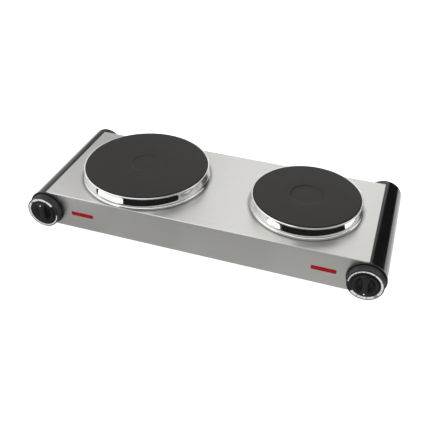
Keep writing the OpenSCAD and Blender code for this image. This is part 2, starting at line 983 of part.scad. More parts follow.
module neutral_wires() {
    feed_y = mains_y - mains_d / 2;
    color("royalblue")
        for (side = [LEFT, RIGHT]) {
            x_plate = side == LEFT ? large_x : small_x;
            r_plate = side == LEFT ? large_r : small_r;
            x_feed = mains_x + side * 2;
            pin_y = body_y + outer_turn * r_plate;
            wire([
                [x_feed, feed_y, neutral_z],
                [x_feed, neutral_lane, neutral_z],
                [x_plate, neutral_lane, neutral_z],
                [x_plate, neutral_lane, lead_z],
                [x_plate, pin_y, lead_z + 4],
                [x_plate, pin_y, pin_low - 0.1]
            ]);
        }
}

module lamp_wires() {
    lamp_z = top_z - lamp_drop;
    back_of_lamp = front_y + 9;
    corner_y = front_y + 13;
    corner_x = foot_x - 6;
    splice = lead_r + 0.4;
    color("dimgray")
        for (side = [LEFT, RIGHT]) {
            x_plate = side == LEFT ? large_x : small_x;
            // straight back to the thermostat's lead
            wire([
                [side * (lamp_x + lamp_lead), back_of_lamp, lamp_z],
                [side * (lamp_x + lamp_lead), tab_wire_y + 8 - lead_r - 0.05, lamp_z]
            ], 0.7);
            // round the heat shield to the neutral wire
            wire([
                [side * (lamp_x - lamp_lead), back_of_lamp, lamp_z],
                [side * (lamp_x - lamp_lead), corner_y, lamp_z],
                [side * (lamp_x - lamp_lead), corner_y, neutral_z],
                [side * corner_x, corner_y, neutral_z],
                [side * corner_x, neutral_lane, neutral_z],
                [x_plate + side * 12, neutral_lane, neutral_z],
                [x_plate + side * splice, neutral_lane, neutral_z + 6]
            ], 0.7);
        }
}

module earth_wire() {
    color("yellowgreen")
        wire([
            [mains_x + 12, mains_y - mains_d / 2, earth_z],
            [mains_x + 12, live_lane + 2, earth_z],
            [earth_x + 14, live_lane + 2, earth_z],
            [earth_x + 3.4, earth_y - 1, earth_z]
        ]);
}

// ---- feet and screws -----------------------------------------------------

module foot(x, y) {
    color([0.12, 0.12, 0.12])
        translate([x, body_y + y, 0])
            difference() {
                cylinder(r1 = foot_d / 2 - 1, r2 = foot_d / 2, h = foot_h, $fn = smooth);
                translate([0, 0, -1])
                    cylinder(r = 4.5, h = 6, $fn = fine);
                translate([0, 0, -1])
                    cylinder(r = 2, h = foot_h + 2, $fn = fine);
            }
}

module foot_screws() {
    color("slategray")
        at_feet()
            translate([0, 0, 5])
                screw(3.6, 2, 1.95, 11);
}

module base_screws() {
    color("slategray")
        at_base_screws()
            translate([0, 0, foot_h])
                screw(3, 1.6, screw_r, 4.6);
}

// ---- what is drawn -------------------------------------------------------

housing_shell();
base_pan();
heat_shield();
end_rail(LEFT);  // left_end_rail
end_rail(RIGHT);  // right_end_rail
bezel(LEFT);  // left_bezel
bezel(RIGHT);  // right_bezel
rear_cap(LEFT);  // left_rear_cap
rear_cap(RIGHT);  // right_rear_cap
hotplate(large_x, large_r);  // large_hotplate
hotplate(small_x, small_r);  // small_hotplate
spill_ring(large_x, large_r);  // large_spill_ring
spill_ring(small_x, small_r);  // small_spill_ring
insulation(large_x, large_r);  // large_insulation
insulation(small_x, small_r);  // small_insulation
heating_coil(large_x, large_r);  // large_heating_coil
heating_coil(small_x, small_r);  // small_heating_coil
plate_cover(large_x, large_r);  // large_plate_cover
plate_cover(small_x, small_r);  // small_plate_cover
clamp_bridge(large_x, large_r);  // large_clamp_bridge
clamp_bridge(small_x, small_r);  // small_clamp_bridge
plate_studs();
plate_nuts();
terminal_block(large_x, large_r);  // large_terminal_block
terminal_block(small_x, small_r);  // small_terminal_block
thermal_cutout(large_x, large_r);  // large_thermal_cutout
thermal_cutout(small_x, small_r);  // small_thermal_cutout
thermostat_frame(LEFT);  // left_thermostat_frame
thermostat_frame(RIGHT);  // right_thermostat_frame
thermostat_body(LEFT);  // left_thermostat_body
thermostat_body(RIGHT);  // right_thermostat_body
thermostat_screws();
lamp_lens(LEFT);  // left_lamp_lens
lamp_lens(RIGHT);  // right_lamp_lens
neon_lamp(LEFT);  // left_neon_lamp
neon_lamp(RIGHT);  // right_neon_lamp
mains_terminal_block();
cord_gland();
gland_nut();
earth_screw();
live_wires();
neutral_wires();
lamp_wires();
earth_wire();
foot(-foot_x, -foot_y);  // front_left_foot
foot(foot_x, -foot_y);  // front_right_foot
foot(-foot_x, foot_y);  // rear_left_foot
foot(foot_x, foot_y);  // rear_right_foot
foot_screws();
base_screws();
knob(LEFT);  // left_knob
dial_ring(LEFT);  // left_dial_ring
pointer_dot(LEFT);  // left_pointer_dot
knob_clip(LEFT);  // left_knob_clip
thermostat_shaft(LEFT);  // left_thermostat_shaft
knob(RIGHT);  // right_knob
dial_ring(RIGHT);  // right_dial_ring
pointer_dot(RIGHT);  // right_pointer_dot
knob_clip(RIGHT);  // right_knob_clip
thermostat_shaft(RIGHT);  // right_thermostat_shaft
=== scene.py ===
"""The looks of a double hot plate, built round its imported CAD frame. Metres, +Z up, knobs towards -Y."""
import json
import math

import bmesh
import bpy
from mathutils import Matrix, Vector


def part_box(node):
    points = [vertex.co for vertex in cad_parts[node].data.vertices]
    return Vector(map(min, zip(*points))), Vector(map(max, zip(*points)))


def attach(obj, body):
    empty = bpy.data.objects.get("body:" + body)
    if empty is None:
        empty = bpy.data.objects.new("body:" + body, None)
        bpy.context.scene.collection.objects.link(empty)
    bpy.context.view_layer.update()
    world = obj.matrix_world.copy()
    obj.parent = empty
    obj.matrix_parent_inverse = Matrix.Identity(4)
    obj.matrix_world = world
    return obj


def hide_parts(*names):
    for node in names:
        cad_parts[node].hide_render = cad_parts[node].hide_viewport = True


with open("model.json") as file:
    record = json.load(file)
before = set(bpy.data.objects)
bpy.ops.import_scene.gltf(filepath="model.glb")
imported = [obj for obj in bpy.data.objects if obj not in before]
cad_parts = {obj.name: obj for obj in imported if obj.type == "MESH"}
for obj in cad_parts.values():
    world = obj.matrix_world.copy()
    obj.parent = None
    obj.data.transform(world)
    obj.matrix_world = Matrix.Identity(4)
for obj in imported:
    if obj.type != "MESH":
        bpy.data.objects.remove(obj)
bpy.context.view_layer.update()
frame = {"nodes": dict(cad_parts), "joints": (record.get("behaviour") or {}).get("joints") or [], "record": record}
NODES = frame["nodes"]
SCENE = bpy.context.scene
MM = 0.001
BASE = "base"
SIDES = ("left", "right")
SIZES = ("large", "small")
# Width of the painted contact shade on the steel outside each spill ring's foot.
CONTACT_SHADE_W = 6 * MM
FLOOR_CARD_LIFT = 0.0004
APRON_LIFT = 0.0006


# ---- shader building -------------------------------------------------------

class Shader:
    """A Principled material, built up from procedural nodes in the object's own coordinates."""

    def __init__(self, name):
        self.material = bpy.data.materials.new(name)
        self.material.use_nodes = True
        self.tree = self.material.node_tree
        self.tree.nodes.clear()
        self.output = self.add("ShaderNodeOutputMaterial")
        self.surface = self.add("ShaderNodeBsdfPrincipled")
        self.link(self.surface.outputs["BSDF"], self.output.inputs["Surface"])
        self.place = self.add("ShaderNodeTexCoord").outputs["Object"]

    def add(self, kind, **settings):
        node = self.tree.nodes.new(kind)
        for key, value in settings.items():
            setattr(node, key, value)
        return node

    def link(self, source, target):
        self.tree.links.new(source, target)

    def fixed(self, **values):
        """Sets sockets of the shader itself: underscores stand for the spaces in their names."""
        for key, value in values.items():
            self.surface.inputs[key.replace("_", " ")].default_value = value
        return self

    def scaled(self, scale):
        """The place on the object, with each axis multiplied."""
        mapping = self.add("ShaderNodeMapping")
        mapping.inputs["Scale"].default_value = scale
        self.link(self.place, mapping.inputs["Vector"])
        return mapping.outputs["Vector"]

    def noise(self, size, detail=3.0, stretch=(1, 1, 1), roughness=0.55):
        """Noise whose features are about size metres across, longer along the axes in stretch."""
        node = self.add("ShaderNodeTexNoise")
        node.inputs["Scale"].default_value = 1.0
        node.inputs["Detail"].default_value = detail
        node.inputs["Roughness"].default_value = roughness
        scale = [1.0 / (size * s) for s in stretch]
        self.link(self.scaled(scale), node.inputs["Vector"])
        return node.outputs["Fac"]

    def cells(self, size):
        """A random value for each cell, size metres across."""
        node = self.add("ShaderNodeTexVoronoi")
        node.inputs["Scale"].default_value = 1.0 / size
        self.link(self.place, node.inputs["Vector"])
        return node.outputs["Color"]

    def math(self, operation, a, b=0.0, c=0.0):
        node = self.add("ShaderNodeMath", operation=operation)
        for socket, value in zip(node.inputs, (a, b, c)):
            if isinstance(value, (int, float)):
                socket.default_value = value
            else:
                self.link(value, socket)
        return node.outputs[0]

    def spread(self, fac, low, high):
        """Maps a 0 to 1 value, which noise keeps near its middle, on to low to high."""
        node = self.add("ShaderNodeMapRange")
        node.inputs["From Min"].default_value = 0.25
        node.inputs["From Max"].default_value = 0.75
        node.inputs["To Min"].default_value = low
        node.inputs["To Max"].default_value = high
        self.link(fac, node.inputs["Value"])
        return node.outputs["Result"]

    def tint(self, fac, dark, light):
        """A colour between dark and light."""
        node = self.add("ShaderNodeMix", data_type="RGBA")
        node.inputs["A"].default_value = (*dark, 1)
        node.inputs["B"].default_value = (*light, 1)
        self.link(self.spread(fac, 0.0, 1.0), node.inputs["Factor"])
        return node.outputs["Result"]

    def coloured(self, fac, dark, light):
        self.link(self.tint(fac, dark, light), self.surface.inputs["Base Color"])
        return self

    def rough(self, fac, low, high):
        self.link(self.spread(fac, low, high), self.surface.inputs["Roughness"])
        return self

    def bumped(self, *layers):
        """Each layer is (height 0 to 1, depth in metres)."""
        normal = None
        for height, depth in layers:
            node = self.add("ShaderNodeBump")
            node.inputs["Distance"].default_value = depth
            self.link(height, node.inputs["Height"])
            if normal is not None:
                self.link(normal, node.inputs["Normal"])
            normal = node.outputs["Normal"]
        self.link(normal, self.surface.inputs["Normal"])
        return self

    def from_axis(self, centre):
        """The distance from a vertical axis through centre, and the height."""
        split = self.add("ShaderNodeSeparateXYZ")
        self.link(self.place, split.inputs["Vector"])
        dx = self.math("SUBTRACT", split.outputs["X"], centre[0])
        dy = self.math("SUBTRACT", split.outputs["Y"], centre[1])
        squares = self.math("ADD", self.math("MULTIPLY", dx, dx), self.math("MULTIPLY", dy, dy))
        return self.math("SQRT", squares), split.outputs["Z"]

    def rings(self, centre, pitch):
        """0 to 1 waves round a vertical axis through centre, pitch metres apart."""
        r, _ = self.from_axis(centre)
        wave = self.math("SINE", self.math("MULTIPLY", r, 2 * math.pi / pitch))
        return self.math("MULTIPLY_ADD", wave, 0.5, 0.5)

    def beside_circle(self, centre, radius, width, above):
        """1 at a circle about a vertical axis, 0 at width metres outside it and below a height."""
        r, height = self.from_axis(centre)
        node = self.add("ShaderNodeMapRange", interpolation_type="SMOOTHSTEP")
        node.inputs["From Min"].default_value = radius
        node.inputs["From Max"].default_value = radius + width
        node.inputs["To Min"].default_value = 1.0
        node.inputs["To Max"].default_value = 0.0
        self.link(r, node.inputs["Value"])
        return self.math("MULTIPLY", node.outputs["Result"], self.math("GREATER_THAN", height, above))

    def paint_shade(self, fac, dark):
        """Paints shade: turns the base colour towards dark by a 0 to 1 value."""
        node = self.add("ShaderNodeMix", data_type="RGBA")
        socket = self.surface.inputs["Base Color"]
        self.link(socket.links[0].from_socket, node.inputs["A"])
        node.inputs["B"].default_value = (*dark, 1)
        self.link(fac, node.inputs["Factor"])
        self.link(node.outputs["Result"], socket)
        return self

    def grain_along_x(self):
        """Turns the highlights of brushed metal across a grain that runs along X."""
        tangent = self.add("ShaderNodeTangent", direction_type="RADIAL", axis="X")
        self.link(tangent.outputs["Tangent"], self.surface.inputs["Tangent"])
        return self


# ---- materials -------------------------------------------------------------

def plate_centre(size):
    """The middle of a hot plate."""
    low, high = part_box(f"{size}_hotplate")
    return (low + high) / 2


def ring_foot(size):
    """The outer radius of a spill ring."""
    low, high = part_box(f"{size}_spill_ring")
    return (high.x - low.x) / 2


def housing_steel():
    s = Shader("brushed_steel")
    streaks = s.noise(0.00022, 2.0, (260, 1, 1))
    scratches = s.noise(0.00060, 3.0, (70, 1, 1), 0.7)
    clouds = s.noise(0.05, 2.0, (2.5, 1, 1))
    blend = s.math("MULTIPLY_ADD", streaks, 0.5, s.math("MULTIPLY", scratches, 0.5))
    s.fixed(Metallic=1.0, Anisotropic=0.4)
    s.coloured(blend, (0.62, 0.615, 0.59), (0.74, 0.735, 0.71))
    s.rough(s.math("MULTIPLY_ADD", clouds, 0.35, s.math("MULTIPLY", blend, 0.65)), 0.29, 0.42)
    s.bumped((streaks, 0.000004), (scratches, 0.000008))
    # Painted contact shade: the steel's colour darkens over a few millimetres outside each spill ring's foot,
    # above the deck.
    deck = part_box("large_spill_ring")[0].z - 0.3 * MM
    contact_shade = [s.beside_circle(plate_centre(size), ring_foot(size), CONTACT_SHADE_W, deck) for size in SIZES]
    s.paint_shade(s.math("MULTIPLY", s.math("MAXIMUM", *contact_shade), 0.7), (0.13, 0.125, 0.115))
    return s.grain_along_x().material


def plate_iron(name, centre):
    s = Shader(name)
    grain = s.noise(0.0007, 4.0)
    clouds = s.noise(0.018, 3.0)
    turned = s.rings(centre, 0.0011)
    s.fixed(Specular_IOR_Level=0.22)
    s.coloured(s.math("MULTIPLY_ADD", clouds, 0.6, s.math("MULTIPLY", grain, 0.4)),
               (0.0152, 0.0141, 0.0128), (0.0215, 0.0201, 0.0183))
    s.rough(clouds, 0.46, 0.56)
    s.bumped((turned, 0.000012), (grain, 0.00003))
    return s.material


def chrome():
    s = Shader("polished_chrome")
    smudge = s.noise(0.012, 3.0)
    polish = s.noise(0.0004, 2.0, (1, 1, 0.4))
    s.fixed(Metallic=1.0)
    s.coloured(smudge, (0.80, 0.80, 0.79), (0.90, 0.90, 0.89))
    s.rough(smudge, 0.03, 0.075)
    s.bumped((polish, 0.000001))
    return s.material


def black_plastic(name, colour, low, high, peel=0.000004, texture=0.0016, gloss=0.5):
    s = Shader(name)
    skin = s.noise(texture, 3.0)
    clouds = s.noise(0.02, 2.0)
    s.fixed(Specular_IOR_Level=gloss)
    s.coloured(clouds, tuple(c * 0.85 for c in colour), tuple(c * 1.2 for c in colour))
    s.rough(clouds, low, high)
    s.bumped((skin, peel))
    return s.material


def galvanised():
    s = Shader("galvanised_steel")
    spangle = s.cells(0.006)
    grain = s.noise(0.0009, 3.0)
    s.fixed(Metallic=0.9)
    s.coloured(s.math("MULTIPLY_ADD", spangle, 0.7, s.math("MULTIPLY", grain, 0.3)),
               (0.46, 0.47, 0.48), (0.62, 0.63, 0.64))
    s.rough(spangle, 0.38, 0.52)
    s.bumped((grain, 0.00001))
    return s.material


def plated_steel():
    s = Shader("plated_fasteners")
    wear = s.noise(0.0015, 4.0)
    s.fixed(Metallic=1.0)
    s.coloured(wear, (0.42, 0.43, 0.44), (0.66, 0.67, 0.68))
    s.rough(wear, 0.25, 0.42)
    s.bumped((s.noise(0.0004, 2.0), 0.000006))
    return s.material


def matte(name, dark, light, low=0.55, high=0.75, size=0.004, depth=0.00002, metallic=0.0):
    s = Shader(name)
    mottle = s.noise(size, 4.0)
    s.fixed(Metallic=metallic)
    s.coloured(mottle, dark, light)
    s.rough(mottle, low, high)
    s.bumped((s.noise(size / 6, 3.0), depth))
    return s.material


def red_lens():
    s = Shader("red_lens")
    haze = s.noise(0.0025, 3.0, (1, 1, 3))
    s.fixed(Specular_IOR_Level=0.18)
    s.coloured(haze, (0.20, 0.0009, 0.0022), (0.26, 0.0014, 0.0035))
    s.rough(haze, 0.16, 0.26)
    s.bumped((s.noise(0.003, 2.0), 0.00001))
    return s.material


def neon_glass():
    s = Shader("neon_glass")
    swirl = s.noise(0.002, 2.0)
    s.fixed(Transmission_Weight=0.85, IOR=1.5)
    s.coloured(swirl, (0.90, 0.55, 0.35), (1.0, 0.75, 0.55))
    s.rough(swirl, 0.02, 0.06)
    return s.material


def dial_silver():
    s = Shader("dial_silver")
    foil = s.noise(0.0006, 3.0)
    s.fixed(Metallic=0.35)
    s.coloured(foil, (0.62, 0.62, 0.61), (0.74, 0.74, 0.73))
    s.rough(foil, 0.28, 0.4)
    s.bumped((foil, 0.000003))
    return s.material


MATERIALS = {
    "housing_steel": housing_steel(),
    "galvanised_steel": galvanised(),
    "plated_steel": plated_steel(),
    "ring_chrome": chrome(),
    "rail_black": black_plastic("gloss_black_rail", (0.006, 0.006, 0.0065), 0.09, 0.15, gloss=0.4),
    "bezel_black": black_plastic("gloss_black_bezel", (0.011, 0.011, 0.012), 0.14, 0.22),
    "knob_black": black_plastic("satin_black_knob", (0.0065, 0.0062, 0.0068), 0.36, 0.48,
                                peel=0.000006, texture=0.0007, gloss=0.38),
    "gland_black": black_plastic("black_nylon", (0.018, 0.018, 0.018), 0.4, 0.55, 0.00001, 0.0008),
    "insulating_ceramic": matte("insulating_ceramic", (0.66, 0.62, 0.54), (0.80, 0.77, 0.70)),
    "coil_alloy": matte("oxidised_coil", (0.16, 0.12, 0.10), (0.33, 0.28, 0.23), 0.4, 0.6,
                        size=0.003, depth=0.00001, metallic=0.9),
    "terminal_plastic": matte("terminal_plastic", (0.78, 0.77, 0.72), (0.86, 0.85, 0.81), 0.4, 0.55, 0.002),
    "foot_rubber": matte("foot_rubber", (0.012, 0.012, 0.012), (0.028, 0.028, 0.027), 0.7, 0.9, 0.0012),
    "wire_brown": matte("wire_brown", (0.15, 0.05, 0.02), (0.22, 0.09, 0.04), 0.4, 0.55, 0.003),
    "wire_blue": matte("wire_blue", (0.02, 0.07, 0.32), (0.04, 0.12, 0.45), 0.4, 0.55, 0.003),
    "wire_grey": matte("wire_grey", (0.20, 0.20, 0.20), (0.30, 0.30, 0.30), 0.4, 0.55, 0.003),
    "wire_earth": matte("wire_earth", (0.03, 0.28, 0.04), (0.72, 0.62, 0.03), 0.4, 0.55, 0.003),
    "lens_red": red_lens(),
    "neon_glass": neon_glass(),
    "dial_silver": dial_silver(),
    "dot_white": matte("dot_white", (0.78, 0.78, 0.77), (0.88, 0.88, 0.87), 0.35, 0.5, 0.0008, 0.000004),
    "shaft_brass": matte("turned_brass", (0.58, 0.40, 0.16), (0.74, 0.55, 0.26), 0.25, 0.4,
                         size=0.002, depth=0.000004, metallic=1.0),
}
PLATE_IRON = {size: plate_iron(f"{size}_plate_iron", plate_centre(size)) for size in SIZES}
# The ribbed skirt's copy of the knob plastic: glossier, and its lighter colour is painted sheen for the light the
# ribs catch.
KNOB_SKIRT_SHEEN = black_plastic("knob_skirt_sheen", (0.026, 0.025, 0.027), 0.24, 0.34, 0.000006, 0.0007)
DIAL_INK = matte("dial_ink", (0.012, 0.012, 0.012), (0.03, 0.03, 0.03), 0.4, 0.5, 0.0005, 0.000002)


def set_material(piece, material):
    """Makes material the only one on a mesh object."""
    piece.data.materials.clear()
    piece.data.materials.append(material)
    piece.data.polygons.foreach_set("material_index", [0] * len(piece.data.polygons))


def dress_cad_nodes():
    """Gives every CAD node its slot's material."""
    for row in frame["record"]["subparts"]:
        node = NODES[row["node"]]
        set_material(node, MATERIALS.get(row["material_slot"]) or MATERIALS["plated_steel"])


def soften(name, width, segments):
    """Rounds a CAD node's edges over 35 degrees with modifiers, which leave its mesh as it is."""
    node = NODES[name]
    weld = node.modifiers.new("weld", "WELD")
    weld.merge_threshold = 0.000002
    bevel = node.modifiers.new("bevel", "BEVEL")
    bevel.width = width
    bevel.segments = segments
    bevel.limit_method = "ANGLE"
    bevel.angle_limit = math.radians(35)
    bevel.use_clamp_overlap = True
    bevel.harden_normals = True
    bevel.miter_outer = "MITER_ARC"


# ---- mesh building ---------------------------------------------------------

def arc(centre, radius, start, end, steps):
    """Points round an arc, angles in degrees."""
    turns = [math.radians(start + (end - start) * i / steps) for i in range(steps + 1)]
    return [(centre[0] + radius * math.cos(t), centre[1] + radius * math.sin(t)) for t in turns]


def make_piece(name, verts, faces, body, material, sharp=32.0):
    """A smooth-shaded piece that rides on a body, with its edges over sharp degrees left crisp."""
    mesh = bpy.data.meshes.new(name)
    mesh.from_pydata(verts, [], faces)
    shape = bmesh.new()
    shape.from_mesh(mesh)
    bmesh.ops.recalc_face_normals(shape, faces=shape.faces)
    shape.to_mesh(mesh)
    shape.free()
    mesh.shade_smooth()
    mesh.set_sharp_from_angle(angle=math.radians(sharp))
    mesh.materials.append(material)
    piece = bpy.data.objects.new(name, mesh)
    SCENE.collection.objects.link(piece)
    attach(piece, body)
    return piece


def spin(profile, segments, closed, place=Matrix.Identity(4), shape=None):
    """Turns a profile of (radius, height) points about the local Z axis.

    A point on the axis becomes one vertex. shape(radius, height, angle) may move each point.
    """
    verts, rings = [], []
    for r, z in profile:
        start = len(verts)
        count = 1 if r < 1e-7 else segments
        for i in range(count):
            a = 2 * math.pi * i / segments
            rr, zz = shape(r, z, a) if shape else (r, z)
            verts.append(place @ Vector((rr * math.cos(a), rr * math.sin(a), zz)))
        rings.append((start, count))
    faces = []
    for (a, na), (b, nb) in zip(rings, rings[1:] + (rings[:1] if closed else [])):
        for i in range(segments):
            j = (i + 1) % segments
            if na == 1 and nb == 1:
                continue
            if na == 1:
                faces.append((a, b + i, b + j))
            elif nb == 1:
                faces.append((a + i, b, a + j))
            else:
                faces.append((a + i, b + i, b + j, a + j))
    return verts, faces


# ---- hot plates and spill rings --------------------------------------------

DIP_R = 23 * MM
DIP_DEPTH = 0.8 * MM
PLATE_SEGMENTS = 256


def hot_plate(size):
    """The iron plate: a dip in its face, a soft edge, a neck inside the ring, and a hollow underside."""
    low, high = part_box(f"{size}_hotplate")
    centre = (low + high) / 2
    r = (high.x - low.x) / 2
    rise = high.z - low.z
    edge = 0.9 * MM
    neck = r - 1.4 * MM
    rim = 6 * MM
    boss = 20 * MM
    under = rise - 11 * MM
    stud = 2.55 * MM
    dip_edge = 1.2 * MM
    profile = [(0, rise - DIP_DEPTH), (DIP_R * 0.5, rise - DIP_DEPTH)]
    profile += arc((DIP_R - dip_edge, rise - DIP_DEPTH + dip_edge * 0.5), dip_edge * 0.5, -90, -40, 4)
    profile += arc((DIP_R + dip_edge, rise - dip_edge * 0.5), dip_edge * 0.5, 140, 90, 4)
    profile += [(r * 0.55, rise), (r * 0.8, rise), (neck - 3 * edge, rise)]
    profile += arc((neck - edge, rise - edge), edge, 84, 0, 6)
    waist = neck - 1.0 * MM
    chamfer = 0.4 * MM
    profile += [(neck, rise - 1.3 * MM), (waist, rise - 2.0 * MM), (waist, rise - 8 * MM)]
    profile += [(r, rise - 10.5 * MM), (r, chamfer), (r - chamfer, 0)]
    profile += [(r - rim, 0), (r - rim, under), (boss, under), (boss, 0)]
    profile += [(stud, 0), (stud, 9 * MM), (0, 9 * MM)]
    place = Matrix.Translation((centre.x, centre.y, low.z))
    verts, faces = spin(profile, PLATE_SEGMENTS, False, place)
    piece = make_piece(f"{size}_plate_face", verts, faces, BASE, PLATE_IRON[size])
    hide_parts(f"{size}_hotplate")


def spill_ring(size):
    """The bright ring round a plate: rolled bead, flared wall, groove and foot."""
    low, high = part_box(f"{size}_spill_ring")
    plate_low, plate_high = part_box(f"{size}_hotplate")
    centre = (low + high) / 2
    r = (plate_high.x - plate_low.x) / 2
    top = high.z - low.z
    sheet_t = 0.6 * MM
    floor_in = r - 6.5 * MM
    shelf = plate_low.z - low.z
    bead = 1.2 * MM
    bead_at = (r + 0.1 * MM, top - bead - 0.1 * MM)
    # Millimetres outwards from the plate's edge, and up from the ring's foot.
    wall = [(-1.1, 16.7), (-0.95, 16.0), (-0.2, 13.5), (0.75, 10.4), (1.7, 7.4), (2.4, 5.2)]
    groove = [(2.3, 4.95), (1.7, 4.8), (1.65, 4.2)]
    foot = [(1.9, 4.0), (2.2, 3.9), (2.6, 3.5), (3.2, 2.2), (3.4, 1.5), (3.4, 0.9), (3.0, 0.5), (2.9, 0)]
    outside = arc(bead_at, bead, 205, -135, 24)
    outside += [(r + x * MM, z * MM) for x, z in wall + groove + foot]
    inside = [(r + 2.3 * MM, 0), (r + 2.3 * MM, shelf - sheet_t), (floor_in, shelf - sheet_t)]
    inside += [(floor_in, shelf), (r + 1.1 * MM, shelf), (r + 1.05 * MM, 6.6 * MM)]
    inside += [(r - 1.6 * MM, 15.9 * MM), (r - 1.6 * MM, top - 2.4 * MM)]
    place = Matrix.Translation((centre.x, centre.y, low.z))
    verts, faces = spin(outside + inside, PLATE_SEGMENTS, True, place)
    piece = make_piece(f"{size}_chrome_ring", verts, faces, BASE, MATERIALS["ring_chrome"], 40)
    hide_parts(f"{size}_spill_ring")


# ---- knobs -----------------------------------------------------------------

KNOB_SEGMENTS = 576
RIBS = 72
RIB_DEPTH = 0.8 * MM
RIM_W = 1.4 * MM
RING_T = 0.4 * MM
SCOOP_DEPTH = 3.4 * MM
FACE_RISE = 1.0 * MM
WAIST = 8 * MM
SCOOP_R = 36 * MM
BAR_AT = math.radians(93)
DIAL_GAP = 43.0
DIAL_GAP_AT = 19.0
DIAL_WIDE = 4.0 * MM
DIAL_NARROW = 1.5 * MM


def knob_place(side):
    """From a knob's own axes, Z out of the front and the left knob's X along the housing, to the frame's."""
    joint = next(j for j in frame["joints"] if j["name"] == f"{side}_knob_turn")
    turn = 0.0 if side == "left" else math.pi
    facing = Matrix.Rotation(math.pi / 2, 4, "X")
    return Matrix.Translation(joint["pos_m"]) @ facing @ Matrix.Rotation(turn, 4, "Z")


def ease(value, low, high):
    """0 up to low, 1 from high, and a smooth step between."""
    t = min(1.0, max(0.0, (value - low) / (high - low)))
    return t * t * (3 - 2 * t)


def face_height(x, y, reach, crest):
    """Height of the knob's face over its dial ring: a finger bar, and a scoop falling away on both sides."""
    along = x * math.cos(BAR_AT) + y * math.sin(BAR_AT)
    across = -x * math.sin(BAR_AT) + y * math.cos(BAR_AT)
    r = math.hypot(x, y)
    bar = WAIST / 2 + SCOOP_R - math.sqrt(SCOOP_R ** 2 - along ** 2)
    beside = ease(abs(across) - bar, -1.0 * MM, 1.0 * MM)
    crown = crest - 0.12 * MM - 0.45 * MM * (across / bar) ** 2
    bar_top = FACE_RISE + (crown - FACE_RISE) * (1 - ease(r, reach - 1.3 * MM, reach))
    rising = ease(r, reach * 0.35, reach)
    scoop = -SCOOP_DEPTH + (FACE_RISE + SCOOP_DEPTH) * rising ** 1.6
    return bar_top + (scoop - bar_top) * beside if r < reach else FACE_RISE


def knob(side):
    """A ribbed knob: skirt, rim, seat for the dial ring, and a raised face with a bar and two scoops."""
    low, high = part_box(f"{side}_knob")
    joint_y = knob_place(side).translation.y
    r = (high.x - low.x) / 2
    back = joint_y - high.y
    dial_low, dial_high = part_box(f"{side}_dial_ring")
    dial_r = (dial_high.x - dial_low.x) / 2
    front = joint_y - dial_low.y
    crest = joint_y - low.y - front
    seat = dial_r - DIAL_WIDE - 0.1 * MM
    face_r = dial_r - 5.3 * MM
    reach = face_r - 1.3 * MM
    skirt_front = front - RIM_W
    outline = [(r - 3 * MM, back), (r - 0.5 * MM, back), (r - 0.1 * MM, back + 0.4 * MM)]
    ribbed = [(r, back + 0.9 * MM), (r, (back + skirt_front) / 2), (r, skirt_front - 0.5 * MM)]
    rim = [(r - 0.5 * MM, skirt_front - 0.05 * MM), (r - 0.15 * MM, skirt_front + 0.25 * MM)]
    rim += arc((r - 0.32 * MM, front - 0.2 * MM), 0.2 * MM, 10, 90, 4)
    rim += [(dial_r + 0.15 * MM, front), (dial_r + 0.1 * MM, front - RING_T), (seat, front - RING_T)]
    rim += [(seat - 0.05 * MM, front), (face_r + 0.6 * MM, front), (face_r + 0.55 * MM, front - 2 * MM)]
    rim += [(face_r, front - 2 * MM), (face_r, front + FACE_RISE - 0.4 * MM)]
    rim += [(face_r - 0.12 * MM, front + FACE_RISE - 0.12 * MM), (face_r - 0.4 * MM, front + FACE_RISE)]
    steps = 46
    face_z = front + 0.5 * FACE_RISE
    face = [((face_r - 0.6 * MM) * (1 - i / steps), face_z) for i in range(steps + 1)]
    behind = [(6 * MM, back + 1.7 * MM), (6 * MM, front - 6.3 * MM)]
    rib_zone = {z for _, z in ribbed}

    def shape(pr, pz, a):
        if pz in rib_zone and abs(pr - r) < 1e-9:
            return pr - RIB_DEPTH * abs(math.sin(a * RIBS / 2)) ** 1.5, pz
        if pz == face_z:
            return pr, front + face_height(pr * math.cos(a), pr * math.sin(a), reach, crest)
        return pr, pz

    bore = 3.05 * MM
    bore_end = front - 4.5 * MM
    hollow = [(bore, bore_end), (bore, back + 1.7 * MM), *behind, (r - 3 * MM, front - 6.3 * MM)]
    profile = outline + ribbed + rim + face + [(0, bore_end)] + hollow
    verts, faces = spin(profile, KNOB_SEGMENTS, True, knob_place(side), shape)
    piece = make_piece(f"{side}_ribbed_knob", verts, faces, f"{side}_control",
                       MATERIALS["knob_black"], 38)
    # The ribbed skirt takes the lighter copy of the plastic, a painted sheen.
    piece.data.materials.append(KNOB_SKIRT_SHEEN)
    to_knob = knob_place(side).inverted()
    for polygon in piece.data.polygons:
        at = to_knob @ polygon.center
        on_skirt = math.hypot(at.x, at.y) > r - RIB_DEPTH - 0.1 * MM
        if on_skirt and back + 0.5 * MM < at.z < skirt_front:
            polygon.material_index = 1
    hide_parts(f"{side}_knob")


